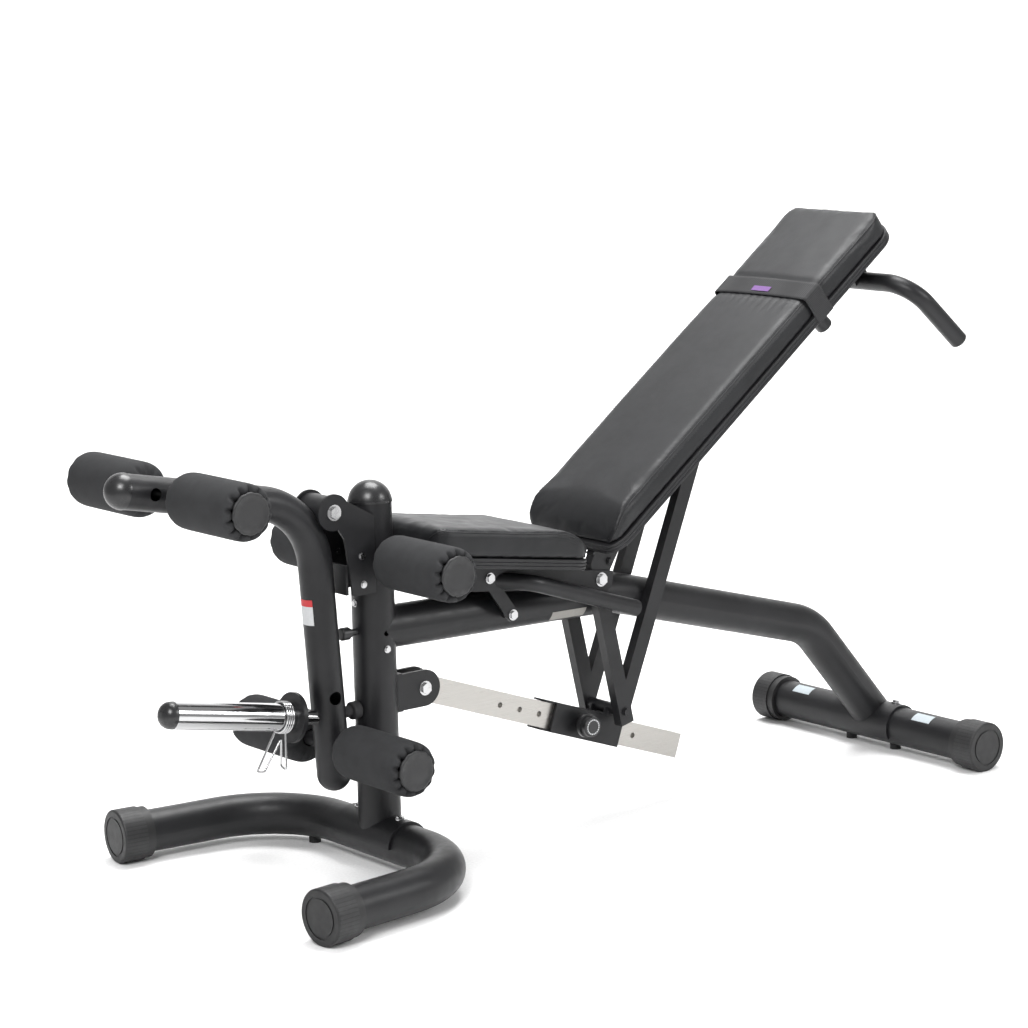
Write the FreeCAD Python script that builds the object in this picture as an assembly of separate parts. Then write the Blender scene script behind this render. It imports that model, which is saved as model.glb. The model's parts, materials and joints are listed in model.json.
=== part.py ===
import FreeCAD, Part
import math
import os

# Adjustable weight bench with a leg developer. Millimetres, +Z up, the leg developer at -Y.
# Y is measured from the axis of the front post; every shape is moved by POST_Y when it is written.
V = FreeCAD.Vector

POST_Y = -381.0          # puts the middle of the whole bench over the origin
TUBE_R = 38.1            # floor tubes, post and main tube
WALL = 2.5
BASE_Z = 48.5            # height of the floor tubes' axes, which is also the end caps' radius
FRONT_END = V(320.8, -353.1, BASE_Z)
FRONT_CORNER = V(284.35, 0, BASE_Z)
FRONT_BEND = 173.0
REAR_Y, REAR_END = 1232.0, 310.5
CAP_R, CAP_LEN = 48.5, 60.0
SADDLE = 5.0
POST_TOP = 652.0
MAIN_POINTS = [(0, 424.9), (538.8, 413.4), (1047.75, 273.1), (1232, 60.5)]
MAIN_BENDS = [300.0, 130.0]

LEG_PIVOT = (-103.0, 649.0)
LEG_R = 30.2
LEG_POINTS = [(-95.1, 180.3), (-126.4, 656.6), (-495.0, 729.9)]
LEG_BEND = 130.0
LEG_CAP_R = 31.0
SLEEVE_FOOT = (-104.0, 281.5)
SLEEVE_DIR = V(0, -0.983, 0.1836)
SLEEVE_R, SLEEVE_START, SLEEVE_NECK, SLEEVE_END = 24.0, 80.0, 108.0, 321.0
UPPER_ROD, LOWER_ROD, SEAT_ROD = (-412.3, 713.5), (-102.0, 235.0), (-3.0, 554.5)
ROD_R, ROD_END = 12.7, 249.5
FOAM_R, FOAM_IN, FOAM_OUT = 47.7, 60.0, 250.0
DISC_R, DISC_T = 36.5, 6.0

HINGE = (466.0, 456.0)       # backrest hinge
PAD_HALF = 128.0
PAD_EDGE = 11.0              # radius along a pad's upper edges
TRIM = 18.0
SEAT_CORNER, SEAT_TILT = (48.0, 543.5), -8.5
SEAT_LEN, SEAT_H = 358.0, 69.5
SEAT_ENDS = ((14, 16), (108, 59))       # quarter ellipses that round the seat, front and rear
BACK_CORNER, BACK_TILT = (456.0, 508.0), 36.8
BACK_LEN, BACK_H = 900.0, 63.0
BACK_ENDS = ((98, 62), (24, 30))        # the same, lower and upper end
STRAP_U, STRAP_W = 632.0, 46.0
PLATE_IN, PLATE_OUT = 60.5, 65.5      # seat side plates
ARM_IN, ARM_OUT = 40.0, 60.0          # rails and V arms under the back pad
VERTEX = (524.0, 196.0)

BAR_PIVOT = (93.0, 306.0)
BAR_DIR = V(0, 0.942, -0.3356)
BAR_HALF, BAR_H, BAR_LEN = 12.5, 23.75, 638.0
BAR_HOLES = [183.8 + 47.6 * i for i in range(8)]
PIN_HOLE = BAR_HOLES[4]
BOLT_R, RUN = 8.0, 0.06               # pivot bolt radius, running clearance


def cyl(a, b, r, bore=0.0):
    """Cylinder from a to b, with an optional bore."""
    solid = Part.makeCylinder(r, (b - a).Length, a, b - a)
    return solid.cut(Part.makeCylinder(bore, (b - a).Length, a, b - a)) if bore else solid


def across(x0, x1, at, r, bore=0.0):
    """Cylinder along X through the point at = (y, z)."""
    return cyl(V(x0, *at), V(x1, *at), r, bore)


def box(x0, x1, y0, y1, z0, z1):
    return Part.makeBox(x1 - x0, y1 - y0, z1 - z0, V(x0, y0, z0))


def fuse(*shapes):
    return shapes[0].multiFuse(list(shapes[1:])).removeSplitter()


def mirrored(shape):
    return shape.mirror(V(0, 0, 0), V(1, 0, 0))


def both(shape):
    """The shape and its mirror image on the other side of the bench."""
    return fuse(shape, mirrored(shape))


def corner(before, at, after, r):
    """Start, middle and end of the arc of radius r that rounds a corner."""
    u, w = (before - at).normalize(), (after - at).normalize()
    half = u.getAngle(w) / 2
    reach = r / math.tan(half)
    return at + u * reach, at + (u + w).normalize() * (r / math.sin(half) - r), at + w * reach


def open_path(points, radii):
    edges, here = [], points[0]
    for i, r in enumerate(radii, 1):
        a, mid, b = corner(points[i - 1], points[i], points[i + 1], r)
        edges += [Part.makeLine(here, a), Part.Arc(a, mid, b).toShape()]
        here = b
    return Part.Wire(edges + [Part.makeLine(here, points[-1])])


def closed_path(points, radii):
    n = len(points)
    arcs = [corner(points[i - 1], points[i], points[(i + 1) % n], radii[i]) for i in range(n)]
    edges = []
    for i, (a, mid, b) in enumerate(arcs):
        edges.append(Part.Arc(a, mid, b).toShape())
        after = arcs[(i + 1) % n][0]
        if (after - b).Length > 1e-6:
            edges.append(Part.makeLine(b, after))
    return Part.Wire(edges)


def pipe(points, radii, r, wall=0.0):
    """Round tube along a path with bent corners; solid where no wall is given."""
    spine = open_path(points, radii)

    def swept(radius):
        ring = Part.Wire(Part.makeCircle(radius, points[0], points[1] - points[0]))
        return spine.makePipeShell([ring], True, True)

    return swept(r).cut(swept(r - wall)) if wall else swept(r)


def plate(x0, x1, outline):
    """Flat plate across X from an outline of (y, z, corner radius)."""
    wire = closed_path([V(x0, y, z) for y, z, r in outline], [r for y, z, r in outline])
    return Part.Face(wire).extrude(V(x1 - x0, 0, 0))


def link(x0, x1, a, b, half, end_a=True, end_b=True):
    """Flat bar across X from a to b, 2 * half wide, with round ends where asked."""
    p, q = V(0, *a), V(0, *b)
    side = V(1, 0, 0).cross((q - p).normalize()) * half
    ring = [p + side, q + side, q - side, p - side]
    bar = Part.Face(Part.makePolygon(ring + ring[:1])).extrude(V(x1 - x0, 0, 0))
    bar.translate(V(x0, 0, 0))
    ends = [across(x0, x1, at, half) for at, on in ((a, end_a), (b, end_b)) if on]
    return fuse(bar, *ends) if ends else bar


def placed(shape, tilt, at):
    """A shape drawn flat, with its corner at the origin, turned about X and moved to at."""
    shape.rotate(V(0, 0, 0), V(1, 0, 0), tilt)
    shape.translate(V(0, *at))
    return shape


def point_on(tilt, at, u, w):
    """The (y, z) of a point u along and w above a tilted part."""
    c, s = math.cos(math.radians(tilt)), math.sin(math.radians(tilt))
    return at[0] + c * u - s * w, at[1] + s * u + c * w


def on_back(y, z):
    """Where (y, z) lies along and above the back pad's underside."""
    return point_on(-BACK_TILT, (0, 0), y - BACK_CORNER[0], z - BACK_CORNER[1])


def back_point(u, w):
    return point_on(BACK_TILT, BACK_CORNER, u, w)


def on_sleeve(s):
    return V(0, *SLEEVE_FOOT) + SLEEVE_DIR * s


def on_bar(x, s, h):
    return V(x, *BAR_PIVOT) + BAR_DIR * s + V(0, -BAR_DIR.z, BAR_DIR.y) * h


def end_cap(face, inward):
    """Cup pushed over a floor tube's end, with a stepped skirt and a ring moulded on its face."""
    cup = cyl(face, face + inward * (CAP_LEN - 16), CAP_R)
    cup = cup.makeFillet(4.0, [e for e in cup.Edges if e.Length > 100 and e.CenterOfMass.distanceToPoint(face) < 1])
    cup = cup.fuse(cyl(face + inward * (CAP_LEN - 16), face + inward * CAP_LEN, CAP_R - 2.5))
    groove = cyl(face, face + inward * 1.5, 36.0, 32.0)
    return cup.cut(cyl(face + inward * 4, face + inward * CAP_LEN, TUBE_R)).cut(groove)


def bolt(a, b, r, head_r, head_h):
    """Bolt from a to b with a washer and a chamfered hexagon head past b."""
    way = (b - a).normalize()
    turn = FreeCAD.Rotation(V(0, 0, 1), way)
    corners = [V(math.cos(math.pi * k / 3), math.sin(math.pi * k / 3), 0) * (head_r * 0.8) for k in range(7)]
    hexagon = Part.Face(Part.makePolygon(corners)).extrude(V(0, 0, head_h))
    dome = Part.makeCone(head_r * 0.8 + head_h, head_r * 0.62, head_h + head_r * 0.18)
    hexagon = hexagon.common(dome)
    hexagon.Placement = FreeCAD.Placement(b, turn)
    return fuse(cyl(a, b, r), cyl(b, b + way * 1.6, head_r), hexagon)


def through(x, at, r, head_r, head_h):
    """Bolt right across the bench at at = (y, z), with a domed head at each end."""
    left = bolt(V(0, *at), V(x, *at), r, head_r, head_h)
    return both(left)


# ---- frame ------------------------------------------------------------------

def front_base():
    inward = (FRONT_CORNER - FRONT_END).normalize() * 4
    right = FRONT_END + inward
    points = [V(-right.x, right.y, BASE_Z), V(-FRONT_CORNER.x, 0, BASE_Z), FRONT_CORNER, right]
    return pipe(points, [FRONT_BEND, FRONT_BEND], TUBE_R, WALL)


def rear_base():
    return across(4 - REAR_END, REAR_END - 4, (REAR_Y, BASE_Z), TUBE_R, TUBE_R - WALL)


def saddle(y, half, lean):
    """Half sleeve over a floor tube, centred on the direction that leans from upright."""
    ring = across(-half, half, (y, BASE_Z), TUBE_R + SADDLE, TUBE_R)
    keep = box(-half, half, -60, 60, 0, 60)
    return ring.common(placed(keep, lean, (y, BASE_Z)))


def post():
    tube = cyl(V(0, 0, 60), V(0, 0, POST_TOP), TUBE_R, TUBE_R - WALL)
    tube = tube.cut(across(-60, 60, (0, BASE_Z), TUBE_R + SADDLE))
    tube = tube.cut(across(-60, 60, SEAT_ROD, ROD_R)).cut(across(0, 60, (0, 422), 5.0))
    tube = tube.cut(cyl(V(0, -60, 425), V(0, 0, 425), 6.0 + RUN))
    return fuse(tube, saddle(0, 83, 0))


def post_cap():
    dome = Part.makeSphere(39.0, V(0, 0, POST_TOP - 1)).common(box(-50, 50, -50, 50, POST_TOP, 720))
    rim = cyl(V(0, 0, POST_TOP), V(0, 0, POST_TOP + 3.5), 39.8)
    plug = cyl(V(0, 0, POST_TOP - 20), V(0, 0, POST_TOP), TUBE_R - WALL, 31.0)
    return fuse(dome, rim, plug)


def post_pin():
    """Spring pin with a round knob, on the front of the post."""
    shank = cyl(V(0, -62, 425), V(0, -16, 425), 6.0)
    knob = cyl(V(0, -72, 425), V(0, -56, 425), 11.5)
    knob = knob.makeFillet(3.0, [e for e in knob.Edges if e.CenterOfMass.y < -71])
    return fuse(shank, knob, cyl(V(0, -56, 425), V(0, -51, 425), 8.5))


def main_tube():
    points = [V(0, y, z) for y, z in MAIN_POINTS]
    tube = pipe(points, MAIN_BENDS, TUBE_R, WALL)
    tube = tube.cut(cyl(V(0, 0, 300), V(0, 0, 520), TUBE_R))
    tube = tube.cut(across(-60, 60, (REAR_Y, BASE_Z), TUBE_R + SADDLE))
    tube = tube.cut(across(-39.5, 39.5, HINGE, 15.0))
    return fuse(tube, saddle(REAR_Y, 78, 30))


def hinge_barrel():
    return across(-39.5, 39.5, HINGE, 15.0, BOLT_R)


def pivot_bracket():
    """Two side plates welded to the post's front, with a web between them."""
    y, z = LEG_PIVOT
    outline = [(-19, 634, 6), (-19, 498, 2), (-69, 497, 4), (-70, 513, 20), (-82, 599, 20), (-96, 620, 12)]
    side = plate(33, 38, outline + [(y - 6, z - 24, 4), (y + 10, z + 26, 4)])
    side = fuse(side, across(33, 38, LEG_PIVOT, 32.0)).cut(cyl(V(0, 0, 480), V(0, 0, 700), TUBE_R))
    web = box(-33, 33, -79, -74, 500, 552)
    return fuse(both(side), web).cut(across(-50, 50, LEG_PIVOT, BOLT_R))


def pivot_bolt():
    return through(38, LEG_PIVOT, BOLT_R, 14.0, 7.0)


def bar_clevis():
    """Two ears behind the post that hold the front end of the adjusting bar."""
    y, z = BAR_PIVOT
    ear = fuse(box(14, 20, 30, y, z - 33, z + 33), across(14, 20, BAR_PIVOT, 33.0))
    back = box(-20, 20, 30, 44, z - 34.5, z + 34.5)
    clevis = fuse(both(ear), back).cut(cyl(V(0, 0, 250), V(0, 0, 370), TUBE_R))
    return clevis.cut(across(-30, 30, BAR_PIVOT, BOLT_R))


def floor_pads():
    """Short rubber feet under the floor tubes."""
    spots = [(190, -11.4), (62, REAR_Y)]
    pads = fuse(*[cyl(V(x, y, 0), V(x, y, 12), 11.0) for x, y in spots])
    return both(pads).cut(front_base()).cut(rear_base())


def seat_brace():
    """Straps from the seat bracket's front bolt down to a bolt through the main tube."""
    strap = link(54, 59, (209, 494.5), (264, 419), 12.5)
    spacer = across(38.3, 54, (264, 419), 10.0)
    tube = cyl(V(0, 200, MAIN_POINTS[0][1] - 0.02134 * 200), V(0, 330, MAIN_POINTS[0][1] - 0.02134 * 330), TUBE_R)
    return both(fuse(strap, spacer).cut(tube))


def frame_bolts():
    """Every bolt that stays on the frame, the backrest's hinge axle included."""
    saddle_top = BASE_Z + TUBE_R + SADDLE
    lean = V(0, math.sin(math.radians(12)), math.cos(math.radians(12)))
    rear = V(0, REAR_Y, BASE_Z)
    bolts = [through(65.5, HINGE, BOLT_R, 13.0, 7.0), through(65.5, (209, 494.5), 6.0, 10.0, 6.0)]
    bolts += [through(59, (264, 419), 6.0, 10.0, 6.0), through(20, BAR_PIVOT, BOLT_R, 13.0, 7.0)]
    for x in (-61, 61):
        bolts.append(bolt(V(x, 0, 75), V(x, 0, saddle_top), 5.0, 9.0, 6.0))
        side = V(x * 0.9, 0, 0)
        bolts.append(bolt(rear + side + lean * 30, rear + side + lean * 43.1, 5.0, 9.0, 6.0))
        bolts.append(bolt(V(x * 0.53, -48, 566), V(x * 0.623, -48, 566), 4.0, 6.5, 3.5))
        bolts.append(bolt(V(x * 0.53, -46, 516), V(x * 0.623, -46, 516), 4.0, 6.5, 4.0))
    bolts.append(bolt(V(0, -25, 476), V(0, -38.1, 476), 4.0, 6.5, 4.5))
    bolts.append(bolt(V(25, 0, 394), V(38.1, 0, 394), 4.0, 6.5, 4.5))
    return Part.makeCompound(bolts)


# ---- seat -------------------------------------------------------------------

def plan(half, u0, u1, r0, r1, w0, w1):
    """Flat slab with rounded corners, r0 at its near end and r1 at its far end."""
    points = [V(-half, u0, w0), V(half, u0, w0), V(half, u1, w0), V(-half, u1, w0)]
    return Part.Face(closed_path(points, [r0, r0, r1, r1])).extrude(V(0, 0, w1 - w0))


def trim_board(half, length, r0, r1):
    """Board under a pad, its edge covered in three soft ridges."""
    layers = []
    for i in range(3):
        layer = plan(half, 0, length, r0, r1, TRIM / 3 * i, TRIM / 3 * (i + 1))
        layers.append(layer.makeFillet(1.8, [e for e in layer.Edges if abs(e.CenterOfMass.z % (TRIM / 3)) < 0.01
                                             or abs(e.CenterOfMass.z % (TRIM / 3) - TRIM / 3) < 0.01]))
    core = plan(half - 3, 3, length - 3, max(r0 - 3, 1), max(r1 - 3, 1), 0, TRIM)
    return fuse(core, *layers)


def quarter(middle, way, along, down, height):
    """Quarter ellipse that rounds a cushion's end, with its foot and its flat top."""
    centre = V(0, middle, height - down)
    foot, top = centre + V(0, way * along, 0), centre + V(0, 0, down)
    major, minor = (foot, top) if along > down else (top, foot)
    return Part.ArcOfEllipse(Part.Ellipse(major, minor, centre), 0, math.pi / 2).toShape(), foot, top


def section(half, height, grow):
    """Outline of a whole pad cut across, its top slightly crowned, grown all round."""
    side, top = half + grow, height - 3 + grow
    points = [V(-side, 0, -grow), V(side, 0, -grow), V(side, 0, top), V(0, 0, top + 4), V(-side, 0, top)]
    return closed_path(points, [1, 1, PAD_EDGE, 800, PAD_EDGE])


def cushion(half, length, height, r0, r1, ends):
    """Whole pad with its board: flat below, crowned on top, rounded at both ends and along its top edges."""
    low, high = ends
    near, near_foot, near_top = quarter(low[0], -1, *low, height)
    far, far_foot, far_top = quarter(length - high[0], 1, *high, height)
    below_a, below_b = V(0, 0, -9), V(0, length, -9)
    edges = [near, Part.makeLine(near_top, far_top), far, Part.makeLine(below_b, below_a)]
    edges += [Part.makeLine(below_a, near_foot), Part.makeLine(far_foot, below_b)]
    side = Part.Face(Part.Wire(Part.__sortEdges__(edges))).extrude(V(2 * half + 20, 0, 0))
    side.translate(V(-half - 10, 0, 0))
    front = Part.Face(section(half, height, 0)).extrude(V(0, length + 14, 0))
    front.translate(V(0, -7, 0))
    return front.common(side).common(plan(half, 0, length, r0, r1, -12, height + 12))


def seat_whole():
    return cushion(PAD_HALF, SEAT_LEN, SEAT_H, 30, 45, SEAT_ENDS)


def back_whole():
    return cushion(PAD_HALF, BACK_LEN, BACK_H, 40, 50, BACK_ENDS)


def upper_part(whole):
    return whole.common(box(-200, 200, -10, 1000, TRIM, 100))


def seat_pad():
    return placed(upper_part(seat_whole()), SEAT_TILT, SEAT_CORNER)


def seat_board():
    return placed(trim_board(PAD_HALF, SEAT_LEN, 30, 45).common(seat_whole()), SEAT_TILT, SEAT_CORNER)


def seat_bracket():
    """Side plates under the seat, with two cross plates screwed to the board."""
    top = [point_on(SEAT_TILT, SEAT_CORNER, u, 0) for u in (116, 352)]
    outline = [(167, 476, 4), (490, 434.5, 10), (497, 468, 6), (420, 479, 8)]
    side = plate(PLATE_IN, PLATE_OUT, outline + [(*top[1], 2), (*top[0], 2)])
    parts = [side, mirrored(side)]
    for u in (125, 270):
        cross = box(-PLATE_IN, PLATE_IN, u, u + 45, -4, 0)
        parts.append(placed(cross, SEAT_TILT, SEAT_CORNER))
    return fuse(*parts)


def seat_handle():
    points = [V(40, 214, 488.4), V(97, 281, 480.4), V(97, 523, 399)]
    handle = pipe(points, [45], 15.0, 2.5)
    return handle.cut(box(0, PLATE_OUT, 150, 350, 420, 540))


# ---- leg developer ----------------------------------------------------------

def leg_tube():
    points = [V(0, y, z) for y, z in LEG_POINTS]
    tube = pipe(points, [LEG_BEND], LEG_R, WALL)
    foot = Part.makeSphere(LEG_R, points[0]).cut(Part.makeSphere(LEG_R - WALL, points[0]))
    way = (points[1] - points[0]).normalize()
    foot = foot.cut(Part.makeCylinder(60, 60, points[0], way))
    tube = fuse(tube, foot).cut(across(-32.6, 32.6, LEG_PIVOT, 27.0))
    for at, r in ((UPPER_ROD, ROD_R), (LOWER_ROD, ROD_R), ((-105.8, 322), 12.0), ((-449, 722), 11.0)):
        tube = tube.cut(across(-60, 60, at, r))
    return tube.cut(cyl(on_sleeve(0), on_sleeve(60), 12.0)).cut(cyl(V(0, -100, 286), V(0, -60, 286), 10.0))


def leg_tube_cap():
    """Domed cap on the upper end of the leg tube."""
    end, before = V(0, *LEG_POINTS[2]), V(0, *LEG_POINTS[1])
    way = (end - before).normalize()
    dome = Part.makeSphere(LEG_CAP_R, end).common(Part.makeCylinder(40, 40, end, way))
    return fuse(dome, cyl(end - way * 15, end, LEG_R - WALL))


def pivot_barrel():
    return across(-32.6, 32.6, LEG_PIVOT, 27.0, BOLT_R + RUN)


def plate_sleeve():
    """Chrome sleeve on its stub, turned down a little where the spring collar is parked."""
    stub = cyl(on_sleeve(20), on_sleeve(SLEEVE_START), 12.0)
    neck = cyl(on_sleeve(SLEEVE_START), on_sleeve(SLEEVE_NECK), SLEEVE_R - 0.5)
    return fuse(stub, neck, cyl(on_sleeve(SLEEVE_NECK), on_sleeve(SLEEVE_END), SLEEVE_R))


def plate_stop():
    return cyl(on_sleeve(SLEEVE_START - 8), on_sleeve(SLEEVE_START), 44.0, 12.0)


def sleeve_cap():
    """Domed plug in the open end of the sleeve, a little smaller than the sleeve."""
    dome = cyl(on_sleeve(SLEEVE_END), on_sleeve(SLEEVE_END + 23), SLEEVE_R - 0.4)
    far = on_sleeve(SLEEVE_END + 23)
    return dome.makeFillet(20.0, [e for e in dome.Edges if (e.CenterOfMass - far).Length < 1])


def stop_bumper():
    neck = cyl(V(0, -90, 286), V(0, -56, 286), 10.0)
    rubber = cyl(V(0, -56, 286), V(0, -38.4, 286), 16.0)
    rubber = rubber.makeFillet(3.0, [e for e in rubber.Edges if e.Length > 50])
    return fuse(neck, rubber)


def rod(at):
    return across(-ROD_END, ROD_END, at, ROD_R)


def foam(at):
    """Foam roller with rounded ends and a running bore."""
    roll = across(FOAM_IN, FOAM_OUT, at, FOAM_R)
    roll = roll.makeFillet(20.0, [e for e in roll.Edges if abs(e.CenterOfMass.x - FOAM_IN) < 0.1])
    roll = roll.makeFillet(10.0, [e for e in roll.Edges if abs(e.CenterOfMass.x - FOAM_OUT) < 0.1])
    return roll.cut(across(FOAM_IN, FOAM_OUT, at, ROD_R + RUN))


def disc(at):
    plug = across(FOAM_OUT, FOAM_OUT + DISC_T, at, DISC_R)
    return plug.makeFillet(2.5, [e for e in plug.Edges if abs(e.CenterOfMass.x - FOAM_OUT - DISC_T) < 0.1])


def spring_collar():
    """Wire clip on the sleeve: four turns of wire and two grips that hang from the outer ones."""
    mean, wire, down = SLEEVE_R + 2.4, 2.0, V(0, SLEEVE_DIR.z, -SLEEVE_DIR.y) * -1
    turns = [Part.makeTorus(mean, wire, on_sleeve(90 + 4.3 * i), SLEEVE_DIR) for i in range(4)]
    for i, x, foot in ((0, 7, (-203, 209)), (3, -7, (-246, 208))):
        top = on_sleeve(90 + 4.3 * i) + V(x, 0, 0) + down * mean
        low = V(x * 1.9, *foot)
        grip = pipe([top, low, low + V(-x * 2.8, 2, 3), top + V(-x * 2, 0, -14)], [4, 4], wire)
        turns[i] = fuse(turns[i], grip)
    return Part.makeCompound(turns)


# ---- backrest ---------------------------------------------------------------

def back_pad():
    return placed(upper_part(back_whole()), BACK_TILT, BACK_CORNER)


def back_board():
    return placed(trim_board(PAD_HALF, BACK_LEN, 40, 50).common(back_whole()), BACK_TILT, BACK_CORNER)


def back_strap():
    """Elastic band round the pad and its board."""
    outer, inner = [Part.Face(section(PAD_HALF, BACK_H, grow)).extrude(V(0, STRAP_W, 0)) for grow in (2.2, 0.2)]
    band = outer.cut(inner)
    band.translate(V(0, STRAP_U, 0))
    return placed(band, BACK_TILT, BACK_CORNER)


def back_rails():
    """Two rails under the back pad, cross members, hinge cheeks and lugs for the handle bar."""
    rail = box(ARM_IN, ARM_OUT, -5, 862, -30, 0)
    cheek = plate(ARM_IN, ARM_OUT, [(-39, -46, 4), (-20, -12, 6), (0, -2, 2), (70, -28, 2), (-16, -61, 6)])
    lug = box(ARM_IN, ARM_OUT, 798, 836, -56, -30)
    side = fuse(rail, cheek, across(ARM_IN, ARM_OUT, on_back(*HINGE), 16.0), lug)
    side = side.cut(across(ARM_IN, ARM_OUT, on_back(*HINGE), BOLT_R + RUN))
    parts = [side, mirrored(side)] + [box(-ARM_IN, ARM_IN, u, u + 30, -30, 0) for u in (95, 440, 765)]
    return placed(fuse(*parts), BACK_TILT, BACK_CORNER)


def arm_front():
    """Arm from the hinge cheek down to the vertex, and a little past it."""
    y, z = VERTEX
    way = (V(0, *HINGE) - V(0, y, z)).normalize()
    low = V(0, y, z) - way * 24
    return link(ARM_IN, ARM_OUT, (low.y, low.z), HINGE, 15.0, False, False)


def arm_rear():
    """Arm from the vertex up to the underside of the back rail."""
    foot, knee, top = (521, 203), (570, 323), back_point(292, -28)
    return fuse(link(ARM_IN, ARM_OUT, foot, knee, 15.0, False, True), link(ARM_IN, ARM_OUT, knee, top, 15.0, True, False))


def arm_studs():
    """Short bolts through the foot of each V and through its hinge cheek, ending at the arm's inner face."""
    low = bolt(V(ARM_IN, *VERTEX), V(ARM_OUT, *VERTEX), 6.0, 9.0, 5.5)
    top = bolt(V(ARM_IN, 491, 486), V(ARM_OUT, 491, 486), 5.0, 8.0, 5.0)
    return low, top


def back_handle():
    """Half of the bar behind the head end: across, then bent down to a grip."""
    return pipe([V(0, 1146, 950), V(186, 1146, 950), V(186, 1280, 832)], [60], 17.5, WALL)


# ---- adjusting bar and carriage ---------------------------------------------

def adjust_bar():
    a, b = on_bar(0, 0, 0), on_bar(0, BAR_LEN, 0)
    bar = link(-BAR_HALF, BAR_HALF, (a.y, a.z), (b.y, b.z), BAR_H, True, False)
    for s in BAR_HOLES:
        at = on_bar(0, s, 0)
        bar = bar.cut(across(-20, 20, (at.y, at.z), 5.2))
    return bar.cut(across(-20, 20, BAR_PIVOT, BOLT_R + RUN))


def along_bar(shape):
    """A shape drawn with Y along the bar and Z across it, moved onto the bar."""
    return placed(shape, math.degrees(math.atan2(BAR_DIR.z, BAR_DIR.y)), BAR_PIVOT)


def carriage():
    """Channel that slides on the bar, with bushes, a barrel for the V arms and a pin housing."""
    shell = box(-22, 22, 308, 478, -28, 28)
    shell = fuse(shell, box(-18, 18, 284, 308, -28, -24.2), box(-18, 18, 284, 308, 24.2, 28))
    shell = shell.cut(box(-18, 18, 270, 490, -24.2, 24.2))
    bushes = [box(sx, sx + 5.1, s, s + 20, -24.2, 24.2) for sx in (-18, 12.9) for s in (310, 456)]
    barrel = across(-39.5, 39.5, (443, 41), 11.0)
    ears = [box(x, x + 4, 426, 460, 20, 41) for x in (-22, 18)]
    housing = across(22, 38, (PIN_HOLE, 0), 11.0)
    body = fuse(shell, barrel, housing, *bushes, *ears)
    return along_bar(body.cut(across(10, 40, (PIN_HOLE, 0), 5.0 + RUN)))


def pull_pin():
    """Spring pin that locks the carriage: shank, knob and flared skirt."""
    shank = across(BAR_HALF + 0.3, 46, (PIN_HOLE, 0), 5.0)
    knob = across(42, 60, (PIN_HOLE, 0), 19.0)
    knob = knob.makeFillet(3.0, [e for e in knob.Edges if abs(e.CenterOfMass.x - 60) < 0.1])
    return along_bar(fuse(shank, knob, across(39, 46, (PIN_HOLE, 0), 22.5)))


# ---- all nodes --------------------------------------------------------------

def build():
    face, inward = FRONT_END, (FRONT_CORNER - FRONT_END).normalize()
    n = {"front_base": front_base(), "rear_base": rear_base(), "post": post(), "post_cap": post_cap(),
         "pivot_bracket": pivot_bracket(), "pivot_bolt": pivot_bolt(), "main_tube": main_tube(),
         "bar_clevis": bar_clevis(), "hinge_barrel": hinge_barrel(), "seat_roller_rod": rod(SEAT_ROD),
         "floor_pads": floor_pads(), "seat_pad": seat_pad(), "seat_board": seat_board(),
         "seat_bracket": seat_bracket(), "seat_brace": seat_brace(), "seat_handle_left": seat_handle(),
         "front_cap_left": end_cap(face, inward),
         "rear_cap_left": end_cap(V(REAR_END, REAR_Y, BASE_Z), V(-1, 0, 0))}
    n["front_cap_right"], n["rear_cap_right"] = mirrored(n["front_cap_left"]), mirrored(n["rear_cap_left"])
    n["seat_handle_right"] = mirrored(n["seat_handle_left"])
    n["frame_bolts"] = frame_bolts()
    for name in ("front_base", "rear_base", "post", "main_tube", "bar_clevis", "pivot_bracket", "seat_brace",
                 "seat_bracket"):
        n[name] = n[name].cut(n["frame_bolts"].Solids)

    n.update({"leg_tube": leg_tube(), "leg_tube_cap": leg_tube_cap(), "pivot_barrel": pivot_barrel(),
              "plate_sleeve": plate_sleeve(), "plate_stop": plate_stop(), "sleeve_cap": sleeve_cap(),
              "stop_bumper": stop_bumper(), "upper_roller_rod": rod(UPPER_ROD),
              "lower_roller_rod": rod(LOWER_ROD), "spring_collar": spring_collar(), "post_pin": post_pin()})
    for name, at in (("upper", UPPER_ROD), ("lower", LOWER_ROD), ("seat", SEAT_ROD)):
        n[name + "_foam_left"], n[name + "_disc_left"] = foam(at), disc(at)
        n[name + "_foam_right"] = mirrored(n[name + "_foam_left"])
        n[name + "_disc_right"] = mirrored(n[name + "_disc_left"])

    n.update({"back_pad": back_pad(), "back_board": back_board(), "back_strap": back_strap(),
              "back_handle_left": back_handle(), "adjust_bar": adjust_bar(), "carriage": carriage(),
              "pull_pin": pull_pin()})
    handle = fuse(n["back_handle_left"], across(0, 100, (1146, 950), 17.0))
    rails = back_rails().cut(both(handle)).cut(n["back_strap"])
    stud, top_bolt = arm_studs()
    n["back_rails"] = fuse(rails, both(top_bolt))
    front = arm_front().cut(n["back_rails"]).cut(across(30, 70, HINGE, 16.5))
    rear = arm_rear().cut(n["back_rails"]).cut(arm_front())
    n["back_arm_front_left"] = fuse(front, stud)
    n["back_arm_rear_left"] = rear.cut(stud)
    for name in ("back_arm_front", "back_arm_rear", "back_handle"):
        n[name + "_right"] = mirrored(n[name + "_left"])
    return n


os.makedirs("parts", exist_ok=True)
for node, shape in build().items():
    shape.translate(V(0, POST_Y, 0))
    shape.exportStep("parts/" + node + ".step")
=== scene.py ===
import bpy, json, math
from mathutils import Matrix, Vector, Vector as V, noise
from mathutils.bvhtree import BVHTree


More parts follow.
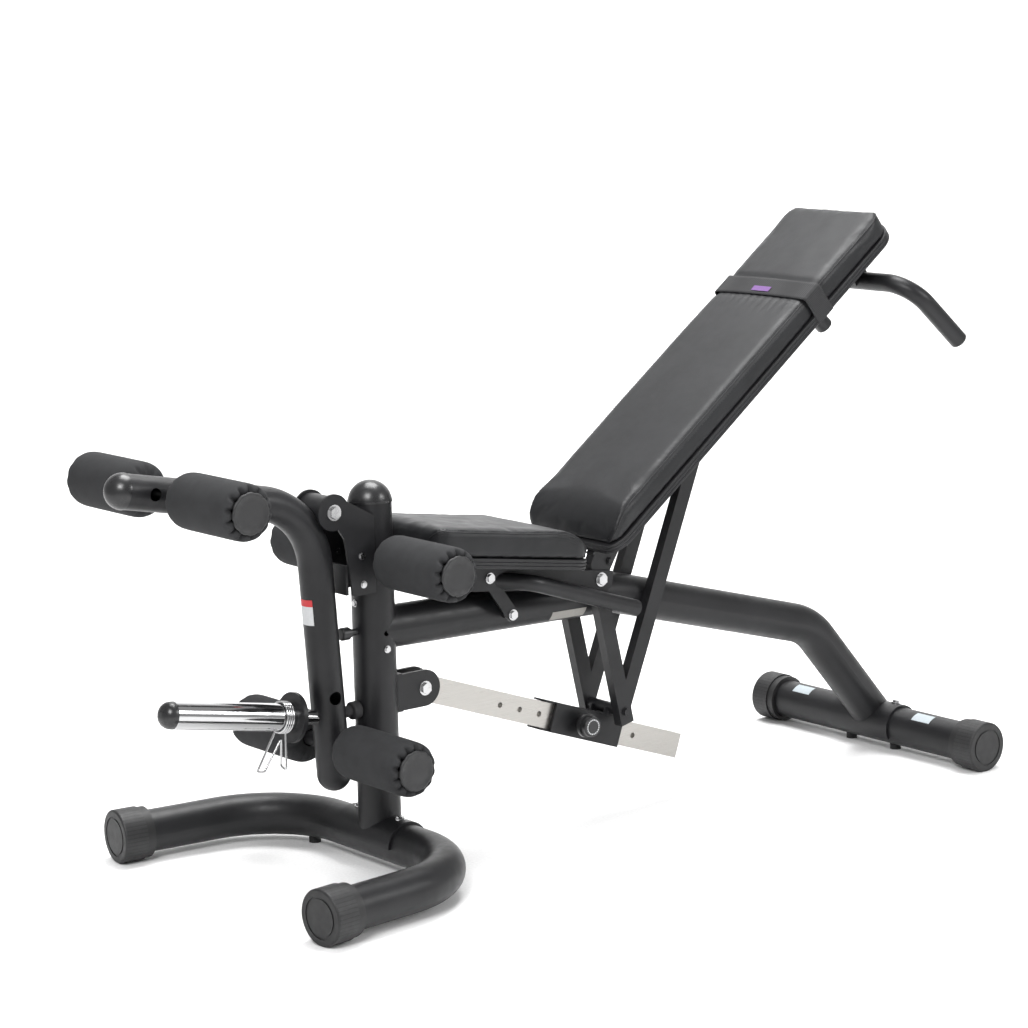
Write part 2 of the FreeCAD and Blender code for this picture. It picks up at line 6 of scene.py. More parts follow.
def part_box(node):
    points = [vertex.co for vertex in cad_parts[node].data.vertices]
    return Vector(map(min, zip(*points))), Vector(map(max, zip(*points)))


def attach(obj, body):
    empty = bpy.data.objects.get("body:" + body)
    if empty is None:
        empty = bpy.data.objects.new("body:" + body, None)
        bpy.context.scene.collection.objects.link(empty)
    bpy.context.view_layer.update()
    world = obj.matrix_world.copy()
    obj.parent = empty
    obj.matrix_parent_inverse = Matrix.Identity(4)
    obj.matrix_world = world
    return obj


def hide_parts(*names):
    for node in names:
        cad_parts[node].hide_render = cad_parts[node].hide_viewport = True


# Looks for the adjustable weight bench. Metres, in the CAD frame: -Y is the leg developer's end.
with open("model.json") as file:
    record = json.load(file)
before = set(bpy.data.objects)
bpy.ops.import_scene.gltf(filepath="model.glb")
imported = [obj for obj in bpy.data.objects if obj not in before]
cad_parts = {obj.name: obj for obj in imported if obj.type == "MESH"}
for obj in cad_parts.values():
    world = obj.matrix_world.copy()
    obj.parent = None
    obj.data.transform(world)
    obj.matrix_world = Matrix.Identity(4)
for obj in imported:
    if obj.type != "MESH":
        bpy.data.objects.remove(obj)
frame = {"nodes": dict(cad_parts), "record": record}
nodes = frame["nodes"]
scene = bpy.context.scene
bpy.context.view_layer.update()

Y0 = -0.381                         # the post's axis; (y, z) pairs in millimetres are measured from it
FOOT_Z = 0.0485                     # axis height of both feet
REAR_Y = 1.232 + Y0                 # axis of the rear foot
TUBE_R, LEG_TUBE_R = 0.0381, 0.0302
BOARD_TOP = 18.0                    # top of a pad's trim board above its underside, in millimetres
CAMERA_AT, CAMERA_AZ, CAMERA_EL, CAMERA_ROLL = (4.1999, -3.3625, 1.5343), 51.64, 9.95, -1.3


# ---- materials ----------------------------------------------------------------

class Nodes:
    """Small helper that builds a Principled material out of procedural nodes."""

    def __init__(self, name, colour, rough, metal=0.0, **more):
        self.mat = bpy.data.materials.new(name)
        self.mat.use_nodes = True
        self.tree = self.mat.node_tree
        self.bsdf = self.tree.nodes["Principled BSDF"]
        self.bsdf.inputs["Base Color"].default_value = (*colour, 1)
        self.bsdf.inputs["Roughness"].default_value = rough
        self.bsdf.inputs["Metallic"].default_value = metal
        for key, value in more.items():
            self.bsdf.inputs[key.replace("_", " ")].default_value = value
        self.coord = self.add("ShaderNodeTexCoord").outputs["Object"]
        self.normal = None              # the last bump, which the next one adds to

    def add(self, kind, **props):
        node = self.tree.nodes.new(kind)
        for key, value in props.items():
            setattr(node, key, value)
        return node

    def link(self, a, b):
        self.tree.links.new(a, b)

    def mapped(self, rotation, scale=(1, 1, 1)):
        node = self.add("ShaderNodeMapping")
        node.inputs["Rotation"].default_value = rotation
        node.inputs["Scale"].default_value = scale
        self.link(self.coord, node.inputs["Vector"])
        return node.outputs["Vector"]

    def noise(self, scale, detail, vector=None, rough=0.5):
        node = self.add("ShaderNodeTexNoise")
        node.inputs["Scale"].default_value = scale
        node.inputs["Detail"].default_value = detail
        node.inputs["Roughness"].default_value = rough
        self.link(vector or self.coord, node.inputs["Vector"])
        return node.outputs["Fac"]

    def cells(self, scale):
        node = self.add("ShaderNodeTexVoronoi", feature="DISTANCE_TO_EDGE")
        node.inputs["Scale"].default_value = scale
        self.link(self.coord, node.inputs["Vector"])
        return node.outputs["Distance"]

    def ramp(self, fac, low, high, a, b):
        node = self.add("ShaderNodeMapRange")
        for key, value in zip(("From Min", "From Max", "To Min", "To Max"), (low, high, a, b)):
            node.inputs[key].default_value = value
        self.link(fac, node.inputs["Value"])
        return node.outputs["Result"]

    def tint(self, fac, dark, light):
        node = self.add("ShaderNodeMix", data_type="RGBA")
        factor, a, b, colour = node.inputs[0], node.inputs[6], node.inputs[7], node.outputs[2]
        a.default_value, b.default_value = (*dark, 1), (*light, 1)
        self.link(fac, factor)
        self.link(colour, self.bsdf.inputs["Base Color"])

    def rough(self, fac, low, high):
        self.link(self.ramp(fac, 0.3, 0.7, low, high), self.bsdf.inputs["Roughness"])

    def bump(self, height, distance, strength=1.0):
        node = self.add("ShaderNodeBump")
        node.inputs["Distance"].default_value = distance
        node.inputs["Strength"].default_value = strength
        self.link(height, node.inputs["Height"])
        if self.normal:
            self.link(self.normal, node.inputs["Normal"])
        self.normal = node.outputs["Normal"]
        self.link(self.normal, self.bsdf.inputs["Normal"])


def powder_coat():
    """Satin black coat with a fine pebble."""
    m = Nodes("satin_powder_coat", (0.012, 0.012, 0.013), 0.4, Specular_IOR_Level=0.33)
    m.tint(m.ramp(m.noise(9, 4), 0.35, 0.65, 0, 1), (0.0075, 0.0075, 0.0084), (0.0115, 0.0115, 0.0128))
    m.rough(m.noise(60, 4), 0.36, 0.46)
    m.bump(m.noise(1500, 2), 0.00022, 0.5)
    return m.mat


def chrome(name, rough, tone=0.5):
    m = Nodes(name, (tone, tone, tone * 1.01), rough, 1.0)
    m.rough(m.noise(45, 5), rough * 0.7, rough * 1.5)
    m.bump(m.noise(300, 3), 0.00004, 0.3)
    return m.mat


def brushed_bar():
    """Stainless flat bar with fine grain along its length."""
    m = Nodes("brushed_stainless", (0.42, 0.41, 0.39), 0.36, 1.0, Anisotropic=0.5)
    lean = math.atan2(-0.3356, 0.942)        # the bar's slope at rest
    along = m.mapped((-lean, 0, 0), (900, 9, 1400))
    grain = m.noise(1.0, 6, along, 0.6)
    m.tint(grain, (0.31, 0.298, 0.28), (0.5, 0.487, 0.465))
    m.rough(grain, 0.24, 0.42)
    m.bump(grain, 0.00008, 0.4)
    return m.mat


def vinyl(name, dark=(0.0085, 0.0088, 0.0098), light=(0.012, 0.0124, 0.0138)):
    m = Nodes(name, dark, 0.45, Specular_IOR_Level=0.32)
    m.tint(m.ramp(m.noise(14, 5), 0.35, 0.65, 0, 1), dark, light)
    m.rough(m.noise(30, 5), 0.40, 0.52)
    m.bump(m.noise(12, 2), 0.0012, 0.12)
    m.bump(m.cells(620), 0.00016, 0.45)
    m.bump(m.noise(1700, 2), 0.00008, 0.4)
    return m.mat


def foam():
    m = Nodes("closed_cell_foam", (0.04, 0.041, 0.043), 0.86, Specular_IOR_Level=0.25)
    m.tint(m.ramp(m.noise(40, 5), 0.35, 0.65, 0, 1), (0.0225, 0.0228, 0.024), (0.0265, 0.027, 0.0285))
    m.bump(m.noise(1200, 4), 0.0005, 0.6)
    return m.mat


def plastic(name, rough, colour=(0.012, 0.012, 0.0128)):
    m = Nodes(name, colour, rough)
    m.tint(m.noise(30, 4), tuple(c * 0.8 for c in colour), tuple(c * 1.3 for c in colour))
    m.rough(m.noise(80, 4), rough * 0.85, rough * 1.15)
    m.bump(m.noise(1100, 2), 0.00015, 0.4)
    return m.mat


def webbing():
    """Woven elastic: fine ribs along the band crossed by the weft."""
    m = Nodes("woven_elastic", (0.012, 0.012, 0.013), 0.8)
    heights = []
    for axis, per_metre in (("X", 420), ("Z", 640)):
        wave = m.add("ShaderNodeTexWave", bands_direction=axis)
        wave.inputs["Scale"].default_value = per_metre / 6.283
        wave.inputs["Distortion"].default_value = 0.6
        m.link(m.mapped((math.radians(-36.8), 0, 0)), wave.inputs["Vector"])
        heights.append(wave.outputs["Fac"])
    both = m.add("ShaderNodeMath", operation="MULTIPLY")
    m.link(heights[0], both.inputs[0])
    m.link(heights[1], both.inputs[1])
    m.tint(both.outputs["Value"], (0.008, 0.008, 0.009), (0.03, 0.03, 0.032))
    m.bump(both.outputs["Value"], 0.0004, 0.7)
    return m.mat


def plain(name, colour, rough=0.55):
    """Printed paper, cloth label or floor in one mottled colour."""
    m = Nodes(name, colour, rough)
    m.tint(m.noise(200, 3), tuple(c * 0.88 for c in colour), tuple(min(c * 1.08, 1) for c in colour))
    m.bump(m.noise(900, 2), 0.0001, 0.3)
    return m.mat


MAT = {"black_frame": powder_coat(), "ribbed_cap": plastic("ribbed_cap_plastic", 0.55),
       "roller_plug": plastic("roller_plug_plastic", 0.5), "dome_plastic": plastic("dome_plastic", 0.3),
       "foam": foam(), "chrome_bolt": chrome("plated_bolt", 0.22), "chrome_sleeve": chrome("polished_chrome", 0.1),
       "collar_wire": chrome("plated_wire", 0.16), "rubber_foot": plastic("foot_rubber", 0.75),
       "knob_plastic": plastic("knob_plastic", 0.38), "vinyl": vinyl("black_vinyl"),
       "vinyl_trim": vinyl("black_vinyl_trim", (0.011, 0.011, 0.012), (0.016, 0.016, 0.0175)),
       "strap_fabric": webbing(), "brushed_bar": brushed_bar()}
SLOT = {s["node"]: s["material_slot"] for s in frame["record"]["subparts"]}

for name, obj in nodes.items():
    obj.data.materials.clear()
    obj.data.materials.append(MAT[SLOT[name]])
    if "_foam_" not in name and "_pad" not in name:
        edge = obj.modifiers.new("soft_edges", "BEVEL")
        edge.width, edge.segments = 0.0006, 2
        edge.limit_method, edge.angle_limit = "ANGLE", math.radians(35)


# ---- mesh helpers ---------------------------------------------------------------

def piece(name, verts, faces, slot, body, material=None):
    """New mesh piece on a body, with its slot's material unless another is given."""
    mesh = bpy.data.meshes.new(name)
    mesh.from_pydata([tuple(v) for v in verts], [], faces)
    mesh.validate()
    mesh.update()
    obj = bpy.data.objects.new(name, mesh)
    scene.collection.objects.link(obj)
    mesh.materials.append(material or MAT[slot])
    mesh.shade_smooth()
    finish_piece(obj, body)
    return obj


def finish_piece(obj, body):
    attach(obj, body)


def grid_faces(rows, cols, close_cols=True):
    """Quads of a grid of points stored row by row; close_cols joins each row's end to its start."""
    faces = []
    for i in range(rows - 1):
        for j in range(cols if close_cols else cols - 1):
            b = (j + 1) % cols
            faces.append((i * cols + j, i * cols + b, (i + 1) * cols + b, (i + 1) * cols + j))
    return faces


def post_point(x, y, z):
    """Millimetres from the post's axis to a point of the row frame."""
    return V((x, y, z)) / 1000 + V((0, Y0, 0))


def on_pad(tilt, at, x, u, w):
    """Pad coordinates (across, along, above), in millimetres, to the row frame."""
    c, s = math.cos(math.radians(tilt)), math.sin(math.radians(tilt))
    return post_point(x, at[0] + c * u - s * w, at[1] + s * u + c * w)


# A pad's tilt, low corner, size, the length and drop of its rounded ends, and its plan's corner radii.
SEAT = dict(tilt=-8.5, at=(48.0, 543.5), half=128.0, length=358.0, height=69.5,
            ends=((14, 16), (108, 59)), round=(30, 45))
BACK = dict(tilt=36.8, at=(456.0, 508.0), half=128.0, length=900.0, height=63.0,
            ends=((98, 62), (24, 30)), round=(40, 50))
STRAP_U, STRAP_W = 632.0, 46.0


def off_pad(pad, p):
    """Row frame back to pad coordinates."""
    c, s = math.cos(math.radians(pad["tilt"])), math.sin(math.radians(pad["tilt"]))
    y, z = (p.y - Y0) * 1000 - pad["at"][0], p.z * 1000 - pad["at"][1]
    return p.x * 1000, c * y + s * z, -s * y + c * z


def half_width(pad, u):
    """Half-width of the pad's plan at u, with its rounded corners."""
    half, length, (r0, r1) = pad["half"], pad["length"], pad["round"]
    if u < r0:
        return half - r0 + math.sqrt(max(r0 * r0 - (r0 - u) ** 2, 0))
    if u > length - r1:
        return half - r1 + math.sqrt(max(r1 * r1 - (u - length + r1) ** 2, 0))
    return half


def top_height(pad, u):
    """Height of the pad's top along its middle, rounded at both ends."""
    (a0, d0), (a1, d1) = pad["ends"]
    h, length = pad["height"], pad["length"]
    if u < a0:
        return h - d0 + d0 * math.sqrt(max(1 - ((a0 - u) / a0) ** 2, 0))
    if u > length - a1:
        return h - d1 + d1 * math.sqrt(max(1 - ((u - length + a1) / a1) ** 2, 0))
    return h


# ---- cushions ---------------------------------------------------------------------

def swell(obj, cap, pressure=4.0):
    """Blows the cushion up a little with the cloth solver, no point moving further than cap."""
    before = [v.co.copy() for v in obj.data.vertices]
    cloth = obj.modifiers.new("swell", "CLOTH")
    s = cloth.settings
    s.use_pressure, s.uniform_pressure_force, s.quality = True, pressure, 5
    s.tension_stiffness, s.compression_stiffness, s.bending_stiffness = 30, 30, 1.2
    s.effector_weights.gravity = 0
    cloth.collision_settings.use_collision = False
    cloth.point_cache.frame_start, cloth.point_cache.frame_end = 1, 20
    for f in range(1, 21):
        scene.frame_set(f)
    graph = bpy.context.evaluated_depsgraph_get()
    after = [v.co.copy() for v in obj.evaluated_get(graph).data.vertices]
    obj.modifiers.clear()
    scene.frame_set(1)
    for v, a, b in zip(obj.data.vertices, before, after):
        move = b - a
        v.co = a + (move * (cap / move.length) if move.length > cap else move)


def cushion(node, name, pad, body, strap=False):
    """Vinyl cushion: swollen by simulation, flat on its board, and pulled in under its strap if it has one."""
    obj = nodes[node].copy()
    obj.data = nodes[node].data.copy()
    obj.name = obj.data.name = name
    obj.modifiers.clear()
    scene.collection.objects.link(obj)
    obj.parent = None
    obj.matrix_world = Matrix.Identity(4)
    for v in obj.data.vertices:
        x, u, w = off_pad(pad, v.co)
        middle = pad["length"] / 2
        v.co = on_pad(pad["tilt"], pad["at"], x * 1.002, (u - middle) * 1.001 + middle,
                      BOARD_TOP + (w - BOARD_TOP) * 0.985)
    remesh = obj.modifiers.new("remesh", "REMESH")
    remesh.mode, remesh.voxel_size = "VOXEL", 0.005
    graph = bpy.context.evaluated_depsgraph_get()
    fresh = bpy.data.meshes.new_from_object(obj.evaluated_get(graph))
    obj.modifiers.clear()
    obj.data = fresh
    swell(obj, 0.0035)
    for v in obj.data.vertices:
        x, u, w = off_pad(pad, v.co)
        if w > 40:
            w += noise.noise(V((x * 0.014, u * 0.009, w * 0.01))) * 0.7
        elif abs(x) > half_width(pad, min(max(u, 1), pad["length"] - 1)) - 6:
            x += math.copysign(noise.noise(V((u * 0.02, w * 0.03, x))) * 0.5, x)
        if strap:       # drawn in beneath the band, a broader waist about it, and small pleats below it
            near = math.exp(-(abs(u - STRAP_U - STRAP_W / 2) / 31.0) ** 6)
            waist = math.exp(-((u - STRAP_U - 20) / 95.0) ** 2)
            pleat = (math.exp(-((u - STRAP_U + 14) / 26.0) ** 2)
                     * max(0.0, math.sin(x * 0.31 + w * 0.4)) * 0.9)
            x *= 1 - 0.012 * near - 0.010 * waist
            w -= (2.6 * near + 1.2 * waist + pleat) * max(0.0, (w - 30) / 33)
        v.co = on_pad(pad["tilt"], pad["at"], x, u, max(w, BOARD_TOP + 0.2))
    smooth = obj.modifiers.new("smooth", "SMOOTH")
    smooth.factor, smooth.iterations = 0.5, 1
    sub = obj.modifiers.new("subdivide", "SUBSURF")
    sub.levels = sub.render_levels = 1
    graph = bpy.context.evaluated_depsgraph_get()
    final = bpy.data.meshes.new_from_object(obj.evaluated_get(graph))
    obj.modifiers.clear()
    obj.data = final
    final.name = name
    final.materials.clear()
    final.materials.append(MAT["vinyl"])
    final.shade_smooth()
    finish_piece(obj, body)
    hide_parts(node)
    return obj


def hugging(obj, points):
    """The points moved onto the cushion's surface, a thread's depth out of it."""
    tree = BVHTree.FromPolygons([v.co for v in obj.data.vertices], [p.vertices for p in obj.data.polygons])
    nearest = [tree.find_nearest(p) for p in points]
    return [at + normal * 0.0002 for at, normal, _, _ in nearest]


def edge_line(pad, side, inset, drop, spacing):
    """Points along one upper edge of a pad, from its low end over the top, evenly spaced."""
    line, last = [], None
    for i in range(2001):
        u = pad["length"] * i / 2000
        w = top_height(pad, u) - drop
        if w < BOARD_TOP + 1.5:
            continue
        x = side * max(half_width(pad, u) - inset, 0)
        here = on_pad(pad["tilt"], pad["at"], x, u, w)
        if last is None or (here - last).length >= spacing / 1000:
            line.append(here)
            last = here
    return line


def thread(name, points, radius, slot, body):
    """Raised round seam along a line of points."""
    verts, n = [], len(points)
    for i, p in enumerate(points):
        way = (points[min(i + 1, n - 1)] - points[max(i - 1, 0)]).normalized()
        out = way.cross(V((1, 0, 0))).normalized()
        up = way.cross(out)
        verts += [p + (out * math.cos(a) + up * math.sin(a)) * radius
                  for a in (math.tau * k / 8 for k in range(8))]
    return piece(name, verts, grid_faces(n, 8), slot, body)


def stitches(name, points, body, half_length=0.0019, thickness=0.00045):
    """Short thread stitches laid along a line of points, every other gap left open."""
    verts, faces = [], []
    for a, b in zip(points[::2], points[1::2]):
        mid, way = (a + b) / 2, (b - a).normalized()
        out = way.cross(V((0, 0, 1))).normalized()
        up = out.cross(way)
        base = len(verts)
        for t, r in ((-1, 0.35), (-0.5, 1), (0.5, 1), (1, 0.35)):
            verts += [mid + way * half_length * t + (out * math.cos(q) + up * math.sin(q)) * thickness * r
                      for q in (math.tau * k / 6 for k in range(6))]
        faces += [tuple(base + i for i in f) for f in grid_faces(4, 6)]
        faces += [tuple(base + i for i in range(6)), tuple(base + 18 + i for i in reversed(range(6)))]
    return piece(name, verts, faces, "vinyl_trim", body)


for pad, node, body in ((SEAT, "seat", "frame"), (BACK, "back", "backrest")):
    whole = cushion(node + "_pad", node + "_cushion", pad, body, strap=node == "back")
    for word, side in (("left", 1), ("right", -1)):
        seam = hugging(whole, edge_line(pad, side, 3.0, 5.0, 5.0))
        thread(node + "_seam_" + word, seam, 0.0011, "vinyl_trim", body)
        for row, inset, drop in (("top", 9.0, 3.0), ("side", 0.0, 13.0)):
            line = hugging(whole, edge_line(pad, side, inset, drop, 3.0))
            stitches("_".join((node, "stitch", row, word)), line, body)


# ---- foam rollers -----------------------------------------------------------------

def roller(name, at, side, body):
    """Foam sleeve whose cover is gathered in folds at both ends, deeper round the outer plug."""
    inner = [(60.5, 15, 0), (60.2, 27, 0), (61.5, 35, 0.5), (65, 41, 0.5 * 5.6 / 6), (70, 45, 0.5 * 1.6 / 6),
             (76, 47, 0), (84, 47.6, 0), (110, 47.7, 0), (150, 47.7, 0)]
    outer = [(190, 47.7), (222, 47.7), (234, 47.5), (240, 47), (244, 46), (247, 44.4), (249.5, 42.4), (250.8, 40),
             (251, 37.6), (250.4, 35.2), (249.4, 33)]
    profile = inner + [(x, r, max(0.0, min(1.0, (46.6 - r) / 5))) for x, r in outer]
    cols, verts = 240, []
    for x, r, fold in profile:
        depth = -7.5 if x > 100 else 5.0
        for j in range(cols):
            a = math.tau * j / cols
            pit = ((1 + math.cos(a * 13 + 0.5 * math.sin(a * 3 + 1))) / 2) ** 2.2
            rr, xx = r - fold * 2.6 * pit, x + fold * depth * pit
            verts.append(post_point(side * xx, at[0] + rr * math.cos(a), at[1] + rr * math.sin(a)))
    obj = piece(name, verts, grid_faces(len(profile), cols), "foam", body)
    sub = obj.modifiers.new("subdivide", "SUBSURF")
    sub.levels = sub.render_levels = 1
    return obj


def plug(name, at, side, body):
    """Moulded end plug: shallow dished face with petals round its rim."""
    profile = [(249.5, 33.0), (251.5, 34.6), (254.6, 35.0), (256, 33.6), (256.2, 31), (255.4, 29.5),
               (255.6, 20), (255.8, 6), (255.9, 0.4)]
    cols, verts = 144, []
    for x, r in profile:
        for j in range(cols):
            a = math.tau * j / cols
            rr = r * (1 - 0.035 * (1 - abs(math.cos(a * 6))) ** 1.5) if r > 30 else r
            verts.append(post_point(side * x, at[0] + rr * math.cos(a), at[1] + rr * math.sin(a)))
    faces = grid_faces(len(profile), cols) + [tuple((len(profile) - 1) * cols + j for j in range(cols))]
    return piece(name, verts, faces, "roller_plug", body)


for label, at in (("upper", (-412.3, 713.5)), ("lower", (-102.0, 235.0)), ("seat", (-3.0, 554.5))):
    for word, side in (("left", 1), ("right", -1)):
        body = label + "_roller_" + word
        sleeve = roller(label + "_sleeve_" + word, at, side, body)
        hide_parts(label + "_foam_" + word)
        cap = plug(label + "_plug_" + word, at, side, body)
        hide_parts(label + "_disc_" + word)


# ---- strap --------------------------------------------------------------------------

def crown(x):
    """How far the strap's top rises at x over its edges, in millimetres."""
    return 2.6 * max(0.0, 1 - (x / 120) ** 2)


def strap_section():
    """Closed outline round the back pad in (across, above), in millimetres."""
    half, top, r = 128.5, 62.1, 9.0
    corners = [((half - r, top - r), r, 0), ((-half + r, top - r), r, 90), ((-half + 1, 0.0), 1, 180),
               ((half - 1, 0.0), 1, 270)]
    ring = []
    for (cx, cw), radius, start in corners:
        for k in range(9):
            a = math.radians(start + 90 * k / 8)
            ring.append((cx + radius * math.cos(a), cw + radius * math.sin(a)))
    dense = []
    for (x0, w0), (x1, w1) in zip(ring, ring[1:] + ring[:1]):
        n = max(1, int(math.hypot(x1 - x0, w1 - w0) / 6))
        dense += [(x0 + (x1 - x0) * k / n, w0 + (w1 - w0) * k / n) for k in range(n)]
    return dense


def strap():
    """Elastic band round the pad and its board."""
    outline, rows, verts = strap_section(), 9, []
    for i in range(rows):
        u = STRAP_U + STRAP_W * i / (rows - 1)
        for x, w in outline:
            verts.append(on_pad(BACK["tilt"], BACK["at"], x, u, w + (crown(x) if w > 50 else 0)))
    obj = piece("elastic_strap", verts, grid_faces(rows, len(outline)), "strap_fabric", "backrest")
    thick = obj.modifiers.new("thickness", "SOLIDIFY")
    thick.thickness, thick.offset = 0.0018, 1.0
    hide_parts("back_strap")


strap()


# ---- labels and moulded ribs ---------------------------------------------------------------

PAPER = plain("label_paper", (0.55, 0.56, 0.57))


def tube_label(name, start, end, radius, facing, half_angle, body, material):
    """Thin label wrapped round part of a tube: from start to end along it, centred on facing."""
    way = (end - start).normalized()
    out = (facing - way * facing.dot(way)).normalized()
    side, verts = way.cross(out), []
    for k in range(9):
        for j in range(13):
            a = half_angle * (j / 6 - 1)
            verts.append(start.lerp(end, k / 8) + (out * math.cos(a) + side * math.sin(a)) * (radius + 0.0003))
    return piece(name, verts, grid_faces(9, 13, close_cols=False), "black_frame", body, material=material)


def leg_axis(z):
    """Point on the axis of the leg developer's straight run, at a height in millimetres."""
    return post_point(0, -95.1 - 31.3 * (z - 180.3) / 476.3, z)


def labels():
    """Blank patches where the bench has paper labels."""
    red, strip = plain("label_red", (0.5, 0.03, 0.035)), plain("label_grey", (0.3, 0.29, 0.27))
    ahead = V((0.12, -1, 0))
    tube_label("leg_label", leg_axis(455), leg_axis(488), LEG_TUBE_R, ahead, 0.5, "leg_developer", PAPER)
    tube_label("leg_label_band", leg_axis(488), leg_axis(500), LEG_TUBE_R, ahead, 0.5, "leg_developer", red)
    tube_label("main_label", V((0, 0.375 + Y0, 0.4169)), V((0, 0.455 + Y0, 0.4152)), TUBE_R,
               V((1, 0, -0.75)), 0.28, "frame", strip)
    for word, x in (("left", 0.155), ("right", -0.185)):
        pale = plain("base_label_paper_" + word, (0.42, 0.47, 0.5))
        tube_label("base_label_" + word, V((x - 0.024, REAR_Y, FOOT_Z)), V((x + 0.024, REAR_Y, FOOT_Z)), TUBE_R,
                   V((0, -0.5, 1)), 0.3, "frame", pale)


def strap_label():
    """Plain woven label sewn to the strap."""
    verts = []
    for i in range(5):
        for j in range(13):
            x = -26 + 48 * j / 12
            verts.append(on_pad(BACK["tilt"], BACK["at"], x, STRAP_U + 8 + 13 * i / 4, 61.3 + crown(x) + 2.1))
    purple = plain("woven_label", (0.13, 0.055, 0.2), 0.7)
    faces = grid_faces(5, 13, close_cols=False)
    piece("strap_label", verts, faces, "strap_fabric", "backrest", material=purple)


def knob_marks():
    """Ring of small printed dashes on the face of the carriage's pull knob."""
    low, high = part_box("pull_pin")
    centre, verts, count = (V(low) + V(high)) / 2, [], 20
    inside, outside, spread = 0.0122, 0.0146, 0.2
    for k in range(count):
        start = math.tau * k / count
        for r, turn in ((inside, 0), (inside, spread), (outside, spread), (outside, 0)):
            a = start + turn
            verts.append(V((high[0] + 0.0002, centre.y + r * math.cos(a), centre.z + r * math.sin(a))))
    faces = [tuple(range(4 * k, 4 * k + 4)) for k in range(count)]
    piece("knob_marks", verts, faces, "knob_plastic", "pull_pin_body", material=PAPER)


def ribbed(name, centre, turn):
    """End cap plastic with ribs along its band, drawn round the cap's own axis."""
    m = Nodes(name, (0.012, 0.012, 0.0128), 0.55)
    place = m.add("ShaderNodeMapping")
    place.inputs["Rotation"].default_value = (0, 0, turn)
    place.inputs["Location"].default_value = -(Matrix.Rotation(turn, 3, "Z") @ V(centre))
    m.link(m.coord, place.inputs["Vector"])
    split = m.add("ShaderNodeSeparateXYZ")
    m.link(place.outputs["Vector"], split.inputs["Vector"])

    def calc(operation, *values):
        node = m.add("ShaderNodeMath", operation=operation)
        for i, value in enumerate(values):
            if isinstance(value, float):
                node.inputs[i].default_value = value
            else:
                m.link(value, node.inputs[i])
        return node.outputs["Value"]

    y, z = split.outputs["Y"], split.outputs["Z"]
    wave = calc("SINE", calc("MULTIPLY", calc("ARCTAN2", y, z), 44.0))
    radius = calc("SQRT", calc("ADD", calc("MULTIPLY", y, y), calc("MULTIPLY", z, z)))
    on_band = calc("GREATER_THAN", radius, 0.0478)
    ribs = calc("MULTIPLY", on_band, calc("GREATER_THAN", wave, -0.35))
    m.tint(ribs, (0.0075, 0.0075, 0.008), (0.0135, 0.0135, 0.0143))
    m.rough(m.noise(80, 4), 0.48, 0.6)
    m.bump(ribs, 0.0012, 0.8)
    m.bump(m.noise(1100, 2), 0.00015, 0.4)
    return m.mat


labels()
strap_label()
knob_marks()
for word, side in (("left", 1), ("right", -1)):
    for end, centre, turn in (("rear", (side * 0.3105, REAR_Y, FOOT_Z), 0.0),
                              ("front", (side * 0.3208, -0.3531 + Y0, FOOT_Z), -math.radians(90 + side * 5.9))):
        cap = "_".join((end, "cap", word))
        nodes[cap].data.materials[0] = ribbed(cap + "_plastic", centre, turn)


# ---- floor, light and camera ------------------------------------------------------------

def soft_light(name, at, target, size, power):
    light = bpy.data.lights.new(name, "AREA")
    light.shape, light.size, light.energy = "SQUARE", size, power
    lamp = bpy.data.objects.new(name, light)
    scene.collection.objects.link(lamp)
    lamp.location = at
    lamp.rotation_euler = (V(target) - V(at)).to_track_quat("-Z", "Y").to_euler()


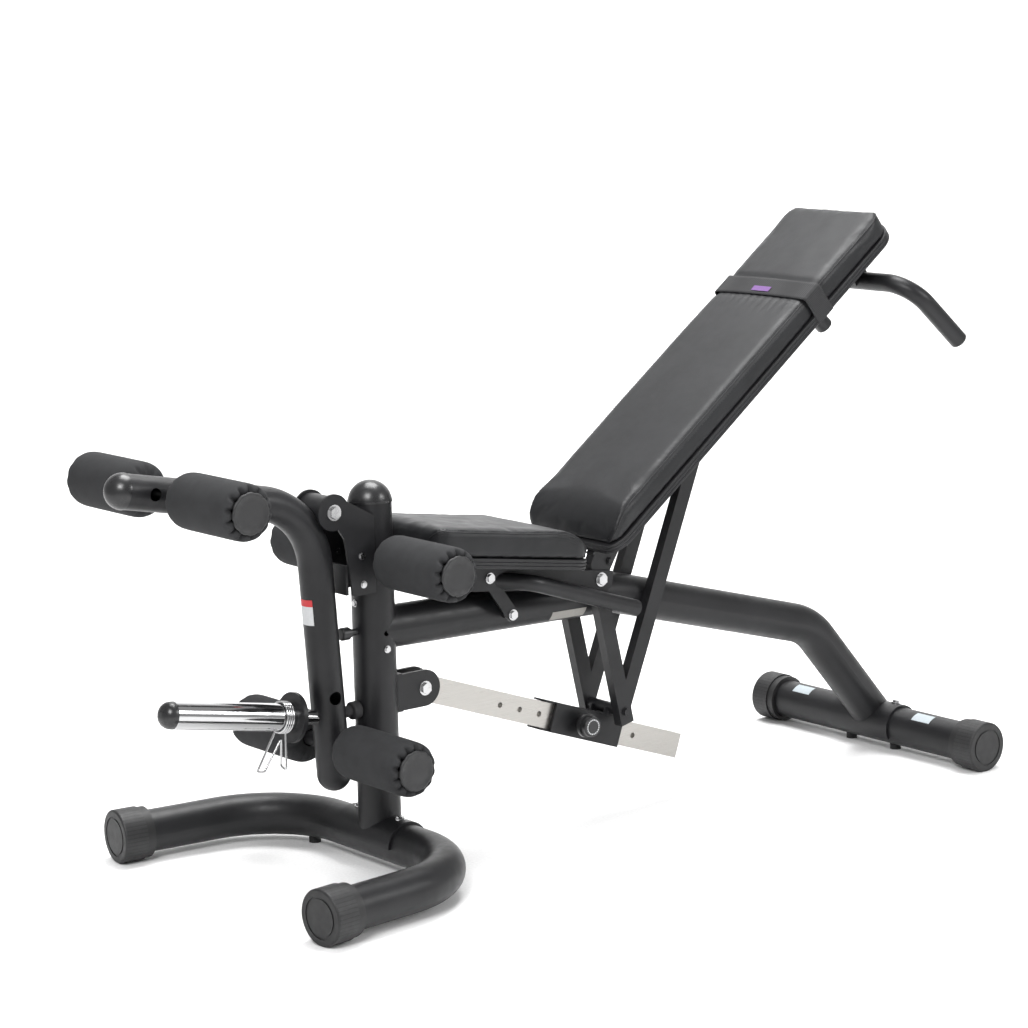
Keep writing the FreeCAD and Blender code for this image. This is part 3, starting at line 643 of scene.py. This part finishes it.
def studio():
    """Pale floor that curves up behind the bench, soft lights over the bench and one for the backdrop."""
    a = math.radians(CAMERA_AZ)
    away, across, verts = V((-math.sin(a), math.cos(a), 0)), V((math.cos(a), math.sin(a), 0)), []
    start, r, half = 5.0, 2.5, 14
    bend = [(start + r * math.sin(t), r - r * math.cos(t)) for t in (math.pi / 2 * k / 24 for k in range(25))]
    profile = [(-9.0, 0.0)] + bend + [(start + r, 9.0)]
    for d, z in profile:
        verts += [away * d + across * half + V((0, 0, z)), away * d - across * half + V((0, 0, z))]
    mesh = bpy.data.meshes.new("floor")
    mesh.from_pydata(verts, [], grid_faces(len(profile), 2, close_cols=False))
    mesh.shade_smooth()
    floor = bpy.data.objects.new("floor", mesh)
    scene.collection.objects.link(floor)
    mesh.materials.append(plain("pale_floor", (0.88, 0.88, 0.88), 0.8))
    world = bpy.data.worlds.new("studio")
    scene.world = world
    world.use_nodes = True
    world.node_tree.nodes["Background"].inputs["Color"].default_value = (1, 1, 1, 1)
    world.node_tree.nodes["Background"].inputs["Strength"].default_value = 0.46
    soft_light("backdrop", away * 3.0 + V((0, 0, 5.5)), away * 7.5 + V((0, 0, 2.5)), 5.0, 420)
    middle = (0, 0, 0.5)
    soft_light("key", (2.4, -3.2, 3.6), middle, 1.8, 190)
    soft_light("side", (3.8, 2.4, 2.6), middle, 1.4, 90)
    soft_light("top", (-0.6, 0.6, 4.2), middle, 2.4, 230)


def camera():
    """Camera on the user's left and in front, a little above the bench."""
    a, e, roll = math.radians(CAMERA_AZ), math.radians(CAMERA_EL), math.radians(CAMERA_ROLL)
    back = V((math.sin(a) * math.cos(e), -math.cos(a) * math.cos(e), math.sin(e)))
    right = V((math.cos(a), math.sin(a), 0))
    up = back.cross(right)
    data = bpy.data.cameras.new("camera")
    data.sensor_width, data.lens = 36.0, 105.0
    data.shift_x, data.shift_y = -0.0101, -0.005
    cam = bpy.data.objects.new("camera", data)
    scene.collection.objects.link(cam)
    rolled_right = right * math.cos(roll) + up * math.sin(roll)
    rolled_up = up * math.cos(roll) - right * math.sin(roll)
    turn = Matrix((rolled_right, rolled_up, back)).transposed().to_4x4()
    cam.matrix_world = Matrix.Translation(CAMERA_AT) @ turn
    scene.camera = cam


studio()
camera()
scene.render.resolution_x = scene.render.resolution_y = 1028
scene.view_settings.view_transform = "Standard"
